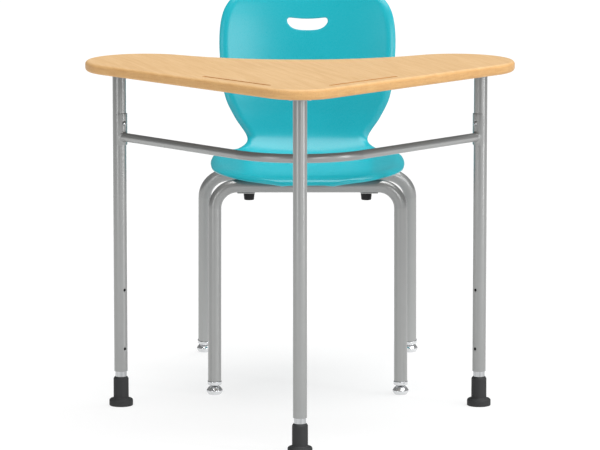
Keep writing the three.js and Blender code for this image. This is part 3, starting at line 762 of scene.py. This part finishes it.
def build_saddle(side):
    """A flat rounded plate, cut into strips and wrapped round the leg."""
    reach = radians(SADDLE["wrap"]) * SADDLE_OUTER * MM
    low, high = (-reach, SADDLE["bottom"] * MM), (reach, SADDLE["top"] * MM)
    plate = slab(
        f"bar_saddle_{side}",
        lambda inset: rounded_rectangle(low, high, SADDLE["corner"] * MM, inset),
        0,
        SADDLE["wall"] * MM,
        0.9 * MM,
        5,
    )
    shape = bmesh.new()
    shape.from_mesh(plate.data)
    strips = 28
    for k in range(1, strips):
        everything = shape.verts[:] + shape.edges[:] + shape.faces[:]
        cut_at = -reach + 2 * reach * k / strips
        bmesh.ops.bisect_plane(shape, geom=everything, plane_co=(cut_at, 0, 0), plane_no=(1, 0, 0))
    facing = FACING[side]
    for vertex in shape.verts:
        along, height, out = vertex.co
        angle = facing + along / (SADDLE_OUTER * MM)
        radius = SADDLE["inner"] * MM + out
        spot = LEGS[side]
        vertex.co = (spot.x + radius * cos(angle), spot.y + radius * sin(angle), height)
    shape.to_mesh(plate.data)
    shape.free()
    tidy(plate, 40)
    cut(plate, [radial(rod(SADDLE_SCREW["hole"], 5, 25), side, SADDLE_SCREW["z"])], sharp=40)
    finish_piece(plate, PAINT, "desk", f"saddle_{side}")
    screw = pan_screw(f"saddle_fixing_{side}", SADDLE_SCREW, SADDLE_SCREW["length"])
    radial(screw, side, SADDLE_SCREW["z"], SADDLE_OUTER + 0.2)
    finish_piece(screw, ZINC, "desk", f"saddle_screw_{side}")


def build_weld(side, around=96, steps=6):
    """The fillet of weld between the bar's end and its saddle."""
    facing = FACING[side]
    out = Vector((cos(facing), sin(facing), 0))
    across = Vector((-out.y, out.x, 0))
    centre = leg_point(side, STRETCHER["z"])
    bar, outer = STRETCHER["radius"], SADDLE_OUTER
    points = []
    for angle in full_turn(around):
        bead = BEAD * (1 + 0.05 * sin(26 * angle))
        section = []
        for j in range(steps + 1):
            bow = pi / 2 * j / steps
            section.append((bar + bead * (1 - sin(bow)) ** 0.9, bead * (1 - cos(bow)) ** 0.9))
        section += [(bar - 0.6, bead - 0.4), (bar - 0.6, -1.2), (bar + bead - 0.8, -1.2)]
        for reach, rise in section:
            sideways = reach * cos(angle)
            surface = sqrt(outer**2 - min(abs(sideways), outer - 0.5) ** 2)
            spot = out * (surface + rise) + across * sideways + Vector((0, 0, reach * sin(angle)))
            points.append(centre + spot * MM)
    faces = ring_faces(around, len(points) // around, looped=True)
    weld = piece(f"bar_weld_{side}", points, faces, 60)
    finish_piece(weld, PAINT, "desk")


# ---- Chair frames, rails and bumpers ----

TUBE_WALL = 2
TUBE_BOTTOM = 28
FRONT_FRAME = {"foot_y": 120, "bar_y": 120, "foot_x": 194.3, "top_x": 192.9, "bar_z": 439.6, "bend": 47}
REAR_FRAME = {"foot_y": 610, "bar_y": 499, "foot_x": 225.5, "top_x": 221.5, "bar_z": 408.4, "bend": 53}
FRAMES = {"front": FRONT_FRAME, "rear": REAR_FRAME}
RAIL_X = 128
RAIL = {"width": 37, "bottom": 423.5, "top": 425.5, "front": 118, "back": 512, "corner": 5}
BUMPER = {"x": 122, "y": 150, "height": 17, "top": 12, "bottom": 10.3, "hollow": 0.6}
STEM = {"radius": 3.4, "barb": 1.2, "tip": 3}
SEAT_SCREW_Y = {"front": 195, "rear": 380}
SEAT_SCREW = {"shank": 2.6, "head": 5, "head_height": 3, "tip": 442, "hole": 2.9}


def chair_at(x, y, z):
    """A point like those of at, with x measured from the chair's middle plane."""
    return at(x, y, z) + Vector((CHAIR_X, 0, 0))


def frame_lean(frame_size):
    """How far a leg frame goes back for each unit of height."""
    return (frame_size["bar_y"] - frame_size["foot_y"]) / frame_size["bar_z"]


def build_chair_frame(end):
    dims = FRAMES[end]
    bottom_y = dims["foot_y"] + frame_lean(dims) * TUBE_BOTTOM
    corners = [
        chair_at(-dims["foot_x"], bottom_y, TUBE_BOTTOM),
        chair_at(-dims["top_x"], dims["bar_y"], dims["bar_z"]),
        chair_at(dims["top_x"], dims["bar_y"], dims["bar_z"]),
        chair_at(dims["foot_x"], bottom_y, TUBE_BOTTOM),
    ]
    line = bent_line(corners, dims["bend"] * MM, 28)
    tube = swept_tube(f"leg_hoop_{end}", line, TUBE_RADIUS, TUBE_WALL * MM, 56)
    finish_piece(tube, PAINT, "chair", f"{end}_leg_frame")


def build_seat_rail(name, side):
    x = side * RAIL_X
    low = chair_at(x - RAIL["width"] / 2, RAIL["front"], 0).to_2d()
    high = chair_at(x + RAIL["width"] / 2, RAIL["back"], 0).to_2d()
    rail = slab(
        f"flat_rail_{name}",
        lambda inset: rounded_rectangle(low, high, RAIL["corner"] * MM, inset),
        RAIL["bottom"] * MM,
        RAIL["top"] * MM,
        0.6 * MM,
        4,
    )
    below, above = 400, 450
    holes = [place(rod(SEAT_SCREW["hole"], below, above), chair_at(x, y, 0)) for y in SEAT_SCREW_Y.values()]
    stem_hole = rod(STEM["radius"] + GAP, below, above)
    holes.append(place(stem_hole, chair_at(side * BUMPER["x"], BUMPER["y"], 0)))
    cut(rail, holes)
    flatten_large_faces(rail)
    finish_piece(rail, PAINT, "chair", f"seat_rail_{name}")


def build_bumper(name, side):
    top = RAIL["bottom"] - GAP
    bottom = top - BUMPER["height"]
    hollow_top = bottom + BUMPER["hollow"]
    stem, rail_top = STEM["radius"], RAIL["top"]
    tip = rail_top + STEM["tip"]
    profile = [
        (0, hollow_top),
        (BUMPER["bottom"] - 3.5, hollow_top, 0.5),
        (BUMPER["bottom"] - 2.6, bottom, 0.5),
        (BUMPER["bottom"], bottom, 1.6),
        (BUMPER["top"], top, 0.4),
        (stem, top),
        (stem, rail_top + 0.4, 0.3),
        (stem + STEM["barb"], rail_top + 0.8, 0.4),
        (stem - 0.6, tip, 0.5),
        (0, tip),
    ]
    bumper = turned(f"stack_bumper_{name}", profile, 56)
    place(bumper, chair_at(side * BUMPER["x"], BUMPER["y"], 0))
    finish_piece(bumper, BLACK, "chair", f"bumper_{name}")


def build_seat_screws(name, side):
    for end, y in SEAT_SCREW_Y.items():
        length = SEAT_SCREW["tip"] - RAIL["bottom"]
        screw = pan_screw(f"seat_fixing_{end}_{name}", SEAT_SCREW, length)
        place(screw, chair_at(side * RAIL_X, y, RAIL["bottom"] - GAP), (0, 0, -1))
        finish_piece(screw, ZINC, "chair", f"seat_screw_{end}_{name}")


# ---- Chair shell ----

WALL = 5
# From the front lip to the top of the back: y, z, half width, dish, edge roll.
SHELL_STATIONS = np.array([
    (60, 446, 203.5, 0, 6),
    (66, 456.5, 203.5, 2, 6.5),
    (90, 460.5, 203.5, 5, 8),
    (150, 460, 203.5, 8, 8.5),
    (250, 455, 203.5, 12, 10),
    (340, 451.5, 203.5, 22, 12),
    (390, 455, 194, 22, 11),
    (434, 467, 151, 13, 9),
    (458, 490, 128.5, 8, 8),
    (477, 537, 157, 14, 8),
    (487, 580, 177, 20, 8),
    (507, 670, 188.5, 26, 8),
    (527, 755, 188.5, 26, 8),
    (539, 792, 188.5, 24, 6),
    (551, 804, 188.5, 22, 4),
])
FRONT_ROUND = (265, 2.6)
TOP_ROUND = (155, 4.2)
END_MARGIN = 3
TOP_TRIM = 3.2
ROLL_WIDTH = 20
HAND_HOLE = {"half_width": 44, "top": 746, "height": 26, "dip": 2.5}
BOSS = {"radius": 8, "bore": 2.9, "flare": 3, "flare_start": 5, "below_middle": 1.5}
SEAT_START = 110  # from here back the seat is wider than the screws stand
ROW_BUNCHING = 0.45
STEEPEST = 12


def hermite(first, second, leave, arrive, w):
    """A cubic from one value to the next with given slopes at its ends."""
    return (
        first * (2 * w**3 - 3 * w**2 + 1)
        + leave * (w**3 - 2 * w**2 + w)
        + second * (3 * w**2 - 2 * w**3)
        + arrive * (w**3 - w**2)
    )


def shell_table(steps=60):
    """Length, y, z, half width, dish and roll along the shell's middle line."""
    line, form = SHELL_STATIONS[:, :3], SHELL_STATIONS[:, 3:]
    line = np.vstack([2 * line[0] - line[1], line, 2 * line[-1] - line[-2]])
    form = np.vstack([form[0], form, form[-1]])
    w = np.linspace(0, 1, steps, endpoint=False)[:, None]
    rows = []
    for i in range(1, len(line) - 2):
        a, b, c, d = line[i - 1 : i + 3]
        ab, bc, cd = (np.sqrt(np.linalg.norm(q - p)) for p, q in ((a, b), (b, c), (c, d)))
        leave = ((b - a) / ab - (c - a) / (ab + bc) + (c - b) / bc) * bc
        arrive = ((c - b) / bc - (d - b) / (bc + cd) + (d - c) / cd) * bc
        e, f, g, h = form[i - 1 : i + 3]
        shape = hermite(f, g, (g - e) / 2, (h - f) / 2, w)
        rows.append(np.hstack([hermite(b, c, leave, arrive, w), shape]))
    rows.append(np.hstack([line[-2], form[-1]])[None])
    table = np.vstack(rows)
    length = np.concatenate([[0], np.cumsum(np.linalg.norm(np.diff(table[:, :3], axis=0), axis=1))])
    return length, table


ALONG, TABLE = shell_table()
SHELL_LENGTH = ALONG[-1]
BACK_START, BACK_END = SHELL_LENGTH * 0.6, SHELL_LENGTH * 0.99


def along_shell(distance, column):
    return np.interp(distance, ALONG, TABLE[:, column])


def rounding(distance, length, power):
    left = np.clip(1 - distance / length, 0, 1)
    return (1 - left**power) ** (1 / power)


def half_width(distance):
    end = SHELL_LENGTH - distance
    return along_shell(distance, 2) * rounding(distance, *FRONT_ROUND) * rounding(end, *TOP_ROUND)


def middle_surface(distance, x):
    """Points in the middle of the shell's wall, in millimetres, measured as in chair_at."""
    step = 0.5
    before, after = np.clip(distance - step, 0, None), np.clip(distance + step, None, SHELL_LENGTH)
    ty = along_shell(after, 0) - along_shell(before, 0)
    tz = along_shell(after, 1) - along_shell(before, 1)
    scale = np.hypot(ty, tz)
    away = (tz / scale, -ty / scale)
    dish, roll = along_shell(distance, 3), along_shell(distance, 4)
    into_roll = np.clip(1 - (half_width(distance) - np.abs(x)) / ROLL_WIDTH, 0, None)
    shift = roll * into_roll**2 - dish * (x / along_shell(distance, 2)) ** 2
    y = along_shell(distance, 0) + away[0] * shift
    z = along_shell(distance, 1) + away[1] * shift
    return np.stack([x, y, z], axis=-1)


def surface_normal(distance, x):
    """Unit normals of the middle surface, pointing away from the sitter."""
    step = 1.0
    forward = middle_surface(np.minimum(distance + step, SHELL_LENGTH), x)
    back = middle_surface(np.maximum(distance - step, 0), x)
    right, left = middle_surface(distance, x + step), middle_surface(distance, x - step)
    normal = np.cross(forward - back, right - left)
    return -normal / np.linalg.norm(normal, axis=-1, keepdims=True)


def inset_width(distance, inset):
    """Half the outline's width when the whole outline is drawn in."""
    step = 0.5
    slope = (half_width(distance + step) - half_width(distance - step)) / (2 * step)
    return half_width(distance) - inset * np.sqrt(1 + np.minimum(np.abs(slope), STEEPEST) ** 2)


def shell_grid(rows, columns, inset, offset):
    """A grid of points on one skin of the shell, drawn in from its outline."""
    start, end = END_MARGIN + inset, SHELL_LENGTH - END_MARGIN - TOP_TRIM - inset
    spread_out = (1 - np.cos(pi * np.arange(rows + 1) / rows)) / 2
    even = np.arange(rows + 1) / rows
    distance = start + (end - start) * (ROW_BUNCHING * spread_out + (1 - ROW_BUNCHING) * even)
    across = np.sin(pi * (np.arange(columns + 1) / columns - 0.5))
    x = inset_width(distance, inset)[:, None] * across[None, :]
    distance = np.broadcast_to(distance[:, None], x.shape)
    return middle_surface(distance, x) + surface_normal(distance, x) * offset


def grid_rim(grid):
    """The points round a grid's border, in order."""
    return np.vstack([grid[0, :-1], grid[:-1, -1], grid[-1, :0:-1], grid[:0:-1, 0]])


def to_scene(points):
    shift = np.array([CHAIR_X, REAR_LINE_Y, 0])
    return np.asarray(points).reshape(-1, 3) * MM + shift


def hand_hole_outline(grow, steps=14):
    """Points round the hand hole as seen along Y, in (x, z), grown by a margin."""
    half, height, dip = HAND_HOLE["half_width"], HAND_HOLE["height"], HAND_HOLE["dip"]
    shoulder = half * 0.84
    right = [
        ((0, -dip), (shoulder * 0.5, -dip), (shoulder * 0.8, -dip * 0.2), (shoulder, 0)),
        ((shoulder, 0), (half, 1), (half * 1.04, -height * 0.3), (half * 0.92, -height * 0.52)),
        ((half * 0.92, -height * 0.52), (half * 0.76, -height * 0.9), (half * 0.5, -height), (0, -height)),
    ]
    line = []
    for a, b, c, d in right:
        for k in range(steps):
            w = k / steps
            weights = ((1 - w) ** 3, 3 * w * (1 - w) ** 2, 3 * w**2 * (1 - w), w**3)
            line.append(sum(np.array(p) * share for p, share in zip((a, b, c, d), weights)))
    line.append(np.array((0, -height)))
    line += [p * (-1, 1) for p in reversed(line[1:-1])]
    line = np.array(line)
    ahead, behind = np.roll(line, -1, axis=0), np.roll(line, 1, axis=0)
    tangent = ahead - behind
    outward = np.stack([-tangent[:, 1], tangent[:, 0]], axis=1)
    outward /= np.linalg.norm(outward, axis=1, keepdims=True)
    return line + outward * grow + (0, HAND_HOLE["top"])


def hand_hole_cutter():
    outline = hand_hole_outline(WALL / 2)
    before_back, behind_back = 440, 640
    points = [(x, y, z) for y in (before_back, behind_back) for x, z in outline]
    return piece("cutter", to_scene(points), capped_faces(2, len(outline)))


def hand_hole_rim(sides=20):
    """A rounded lip that closes the wall round the hand hole."""
    outline = hand_hole_outline(WALL / 2)
    low = np.full(len(outline), BACK_START)
    high = np.full(len(outline), BACK_END)
    for _ in range(40):
        half = (low + high) / 2
        below = middle_surface(half, outline[:, 0])[:, 2] < outline[:, 1]
        low = np.where(below, half, low)
        high = np.where(below, high, half)
    centres = middle_surface(low, outline[:, 0])
    normals = surface_normal(low, outline[:, 0])
    along = np.roll(centres, -1, axis=0) - np.roll(centres, 1, axis=0)
    along /= np.linalg.norm(along, axis=1, keepdims=True)
    across = np.cross(along, normals)
    radius = WALL / 2 - 0.03
    points = []
    for centre, normal, side in zip(centres, normals, across):
        for angle in full_turn(sides):
            points.append(centre + (normal * cos(angle) + side * sin(angle)) * radius)
    faces = ring_faces(len(centres), sides, looped=True)
    return piece("hand_hole_lip", to_scene(points), faces, 60)


def build_shell(rows=190, columns=88, rim_steps=8):
    """Two skins, a rounded rim that joins them, and the hand hole cut through both."""
    skins = [shell_grid(rows, columns, WALL / 2, offset) for offset in (-WALL / 2, WALL / 2)]
    points = [skin.reshape(-1, 3) for skin in skins]
    width = columns + 1
    skin_size = (rows + 1) * width
    faces = []
    for skin in range(len(skins)):
        for i in range(rows):
            for j in range(columns):
                corner = skin * skin_size + i * width + j
                faces.append((corner, corner + 1, corner + width + 1, corner + width))
    rims = []
    for k in range(rim_steps + 1):
        angle = -pi / 2 + pi * k / rim_steps
        inset, offset = WALL / 2 * (1 - cos(angle)), WALL / 2 * sin(angle)
        rims.append(grid_rim(shell_grid(rows, columns, inset, offset)))
    points += rims
    faces += ring_faces(len(rims), len(rims[0]), start=len(skins) * skin_size)
    shell = piece("shell_body", to_scene(np.vstack(points)), faces, 60)
    cut(shell, [hand_hole_cutter()], sharp=60)
    finish_piece(shell, SHELL, "chair", "seat_shell")
    finish_piece(hand_hole_rim(), SHELL, "chair")


def build_bosses(name, side):
    """The hollow posts under the seat that take its screws."""
    x, samples = side * RAIL_X, 600
    distances = np.linspace(SEAT_START, BACK_START, samples)
    surface = middle_surface(distances, np.full(samples, float(x)))
    radius, bore = BOSS["radius"], BOSS["bore"]
    for end, y in SEAT_SCREW_Y.items():
        top = float(np.interp(y, surface[:, 1], surface[:, 2]))
        bottom = RAIL["top"] + GAP
        lip = top - BOSS["below_middle"]
        profile = [
            (bore, (bottom + top) / 2),
            (bore, bottom, 0.3),
            (radius, bottom, 0.5),
            (radius, top - BOSS["flare_start"], 2.2),
            (radius + BOSS["flare"], lip, 0.5),
            (bore, lip, 0.3),
            (bore, (bottom + top) / 2),
        ]
        boss = turned(f"seat_boss_{end}_{name}", profile, 48, 60)
        place(boss, chair_at(x, y, 0))
        finish_piece(boss, SHELL, "chair")


# ---- Swivel glides ----

BALL_Z = 9
BALL_RADIUS = 6.5
STUD_RADIUS = 3.5
SOCKET_GAP = 0.45
SOCKET_EDGE_ANGLE = 0.53
CAP = {"radius": 15, "below": 8, "plug": 17, "plug_radius": 10.85, "chamfer": 1.2}
FOOT = {"sole_inset": 4.2, "widest": (6, 9.2), "shoulder": (12.6, 15.2)}
FOOT_MOUTH = {"rim": 9.3, "edge": 7.9, "throat": 6.6}


def build_glide(end, name, side):
    dims = FRAMES[end]
    lean = frame_lean(dims)
    splay = side * (dims["top_x"] - dims["foot_x"]) / dims["bar_z"]
    up = Vector((splay, lean, 1)).normalized()
    tube_end = (TUBE_BOTTOM - BALL_Z) / up.z
    bottom_centre = chair_at(side * dims["foot_x"], dims["foot_y"] + lean * TUBE_BOTTOM, TUBE_BOTTOM)
    ball = bottom_centre - up * tube_end * MM
    label = f"{end}_{name}"
    build_glide_cap(label, tube_end, ball, up)
    build_glide_stud(label, tube_end, ball, up)
    build_glide_base(label, ball)


def build_glide_cap(label, tube_end, ball, up):
    bore, radius = STUD_RADIUS + GAP, CAP["radius"]
    ledge, bottom = tube_end - GAP, tube_end - CAP["below"]
    plug, top = CAP["plug_radius"], ledge + CAP["plug"]
    profile = [
        (bore, bottom + 4),
        (bore, bottom + 0.6, 0.3),
        (bore + 2, bottom, 0.6),
        (radius - CAP["chamfer"], bottom, 0.6),
        (radius, bottom + CAP["chamfer"], 0.8),
        (radius, ledge, 0.7),
        (plug, ledge),
        (plug, top, 0.8),
        (bore, top, 0.3),
        (bore, bottom + 4),
    ]
    cap = turned(f"leg_cap_{label}", profile, 64)
    place(cap, ball, up)
    finish_piece(cap, NICKEL, "chair", f"glide_cap_{label}")


def build_glide_stud(label, tube_end, ball, up):
    neck = asin(STUD_RADIUS / BALL_RADIUS)
    profile = [(0, -BALL_RADIUS)]
    steps = 16
    for k in range(1, steps + 1):
        angle = -pi / 2 + (pi - neck) * k / steps
        profile.append((BALL_RADIUS * cos(angle), BALL_RADIUS * sin(angle)))
    top = tube_end + CAP["plug"] - 3
    profile += [(STUD_RADIUS, top, 0.5), (0, top)]
    stud = turned(f"ball_stud_{label}", profile, 48)
    place(stud, ball, up)
    finish_piece(stud, ZINC, f"stud_{label}", f"glide_stud_{label}")


def build_glide_base(label, ball):
    low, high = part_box(f"glide_base_{label}")
    radius, top = (high.x - low.x) / 2 / MM, high.z / MM
    socket = BALL_RADIUS + SOCKET_GAP
    cavity = []
    steps = 12
    for k in range(steps + 1):
        angle = SOCKET_EDGE_ANGLE - (SOCKET_EDGE_ANGLE + pi / 2) * k / steps
        cavity.append((max(socket * cos(angle), 0), BALL_Z + socket * sin(angle)))
    profile = [
        (0, 0),
        (radius - FOOT["sole_inset"], 0, 1),
        (radius, FOOT["widest"][0], 4.5),
        (radius, FOOT["widest"][1], 3.2),
        (*FOOT["shoulder"], 4),
        (FOOT_MOUTH["rim"], top, 0.9),
        (FOOT_MOUTH["edge"], top, 0.3),
        (FOOT_MOUTH["throat"], top - 2.6, 0.5),
        *cavity,
    ]
    base = turned(f"swivel_foot_{label}", profile, 72, 40)
    place(base, Vector((ball.x, ball.y, 0)))
    finish_piece(base, NICKEL, f"foot_{label}", f"glide_base_{label}")


# ---- Assembly ----

build_desk_top()
for leg_side in LEGS:
    build_upper_leg(leg_side)
    build_inner_leg(leg_side)
    build_boot(leg_side)
    build_lock_screws(leg_side)
    build_leg_plate(leg_side)
build_stretcher()
for bar_side in ("left", "right"):
    build_saddle(bar_side)
    build_weld(bar_side)
build_shell()
for side_name, side_sign in SIDES:
    build_seat_rail(side_name, side_sign)
    build_bumper(side_name, side_sign)
    build_seat_screws(side_name, side_sign)
    build_bosses(side_name, side_sign)
for frame_end in FRAMES:
    build_chair_frame(frame_end)
    for side_name, side_sign in SIDES:
        build_glide(frame_end, side_name, side_sign)


# ---- Studio ----


def build_floor():
    """A wide pale disc on the floor plane, lit from within like a light table."""
    rings = [0.0, 0.5, 1.0, 2.0, 4.0, 9.0, 30.0]
    sides = 96
    points = [(radius * cos(a), radius * sin(a), 0) for radius in rings for a in full_turn(sides)]
    faces = []
    for i in range(len(rings) - 1):
        here, there = i * sides, (i + 1) * sides
        for k in range(sides):
            onward = (k + 1) % sides
            faces.append((here + k, there + k, there + onward, here + onward))
    floor = piece("studio_floor", points, faces)
    made = Nodes("pale_floor")
    cloud = made.noise(1.5, 3)
    grain = made.noise(240, 3)
    colour = made.mottled(cloud, (0.22, 0.22, 0.22), (0.23, 0.23, 0.23))
    surface = made.finish(
        colour,
        made.spread(grain, 0.7, 0.8),
        made.bump(grain, 0.03, 0.0002),
        Specular_IOR_Level=0.1,
        Emission_Color=(1, 1, 1, 1),
        Emission_Strength=0.76,
    )
    floor.data.materials.append(surface)


def add_light(name, kind, where, aim, power, **settings):
    light = bpy.data.lights.new(name, kind)
    light.energy = power
    for key, value in settings.items():
        setattr(light, key, value)
    lamp = bpy.data.objects.new(name, light)
    lamp.location = where
    lamp.rotation_euler = (Vector(aim) - Vector(where)).to_track_quat("-Z", "Y").to_euler()
    lamp.visible_camera = False
    bpy.context.scene.collection.objects.link(lamp)


def strip_light(name, azimuth, distance, height, power, width, tall):
    """A tall soft box standing so far round from the camera, right being positive."""
    turn = radians(azimuth)
    where = (sin(turn) * distance, -cos(turn) * distance, height)
    add_light(name, "AREA", where, (0, 0, 0.5), power, shape="RECTANGLE", size=width, size_y=tall)


def build_light():
    world = bpy.data.worlds.new("studio")
    bpy.context.scene.world = world
    world.use_nodes = True
    backdrop = world.node_tree.nodes["Background"]
    fill(backdrop, Color=(1, 1, 1, 1), Strength=0.18)
    add_light("overhead", "SUN", (0.6, -0.45, 3), (0, 0, 0), 3.6, angle=radians(60))
    add_light("front", "SUN", (1.5, -2.9, 0.85), (0, 0, 0), 0.5, angle=radians(18))
    strip_light("right_strip", 60, 4.4, 1.3, 52, 0.4, 3.4)
    strip_light("left_strip", -38, 4.4, 1.3, 30, 0.8, 3.4)


CAMERA = {"lens": 270, "film": 36, "distance": 9.12, "height": 1.806, "looks_down": 8.91, "sees_to": 60}


def build_camera():
    camera = bpy.data.cameras.new("camera")
    camera.lens = CAMERA["lens"]
    camera.sensor_width = CAMERA["film"]
    camera.clip_end = CAMERA["sees_to"]
    eye = bpy.data.objects.new("camera", camera)
    eye.location = (0, REAR_LINE_Y - CAMERA["distance"], CAMERA["height"])
    eye.rotation_euler = (radians(90 - CAMERA["looks_down"]), 0, 0)
    bpy.context.scene.collection.objects.link(eye)
    bpy.context.scene.camera = eye


build_floor()
build_light()
build_camera()
bpy.context.scene.view_settings.view_transform = "Standard"
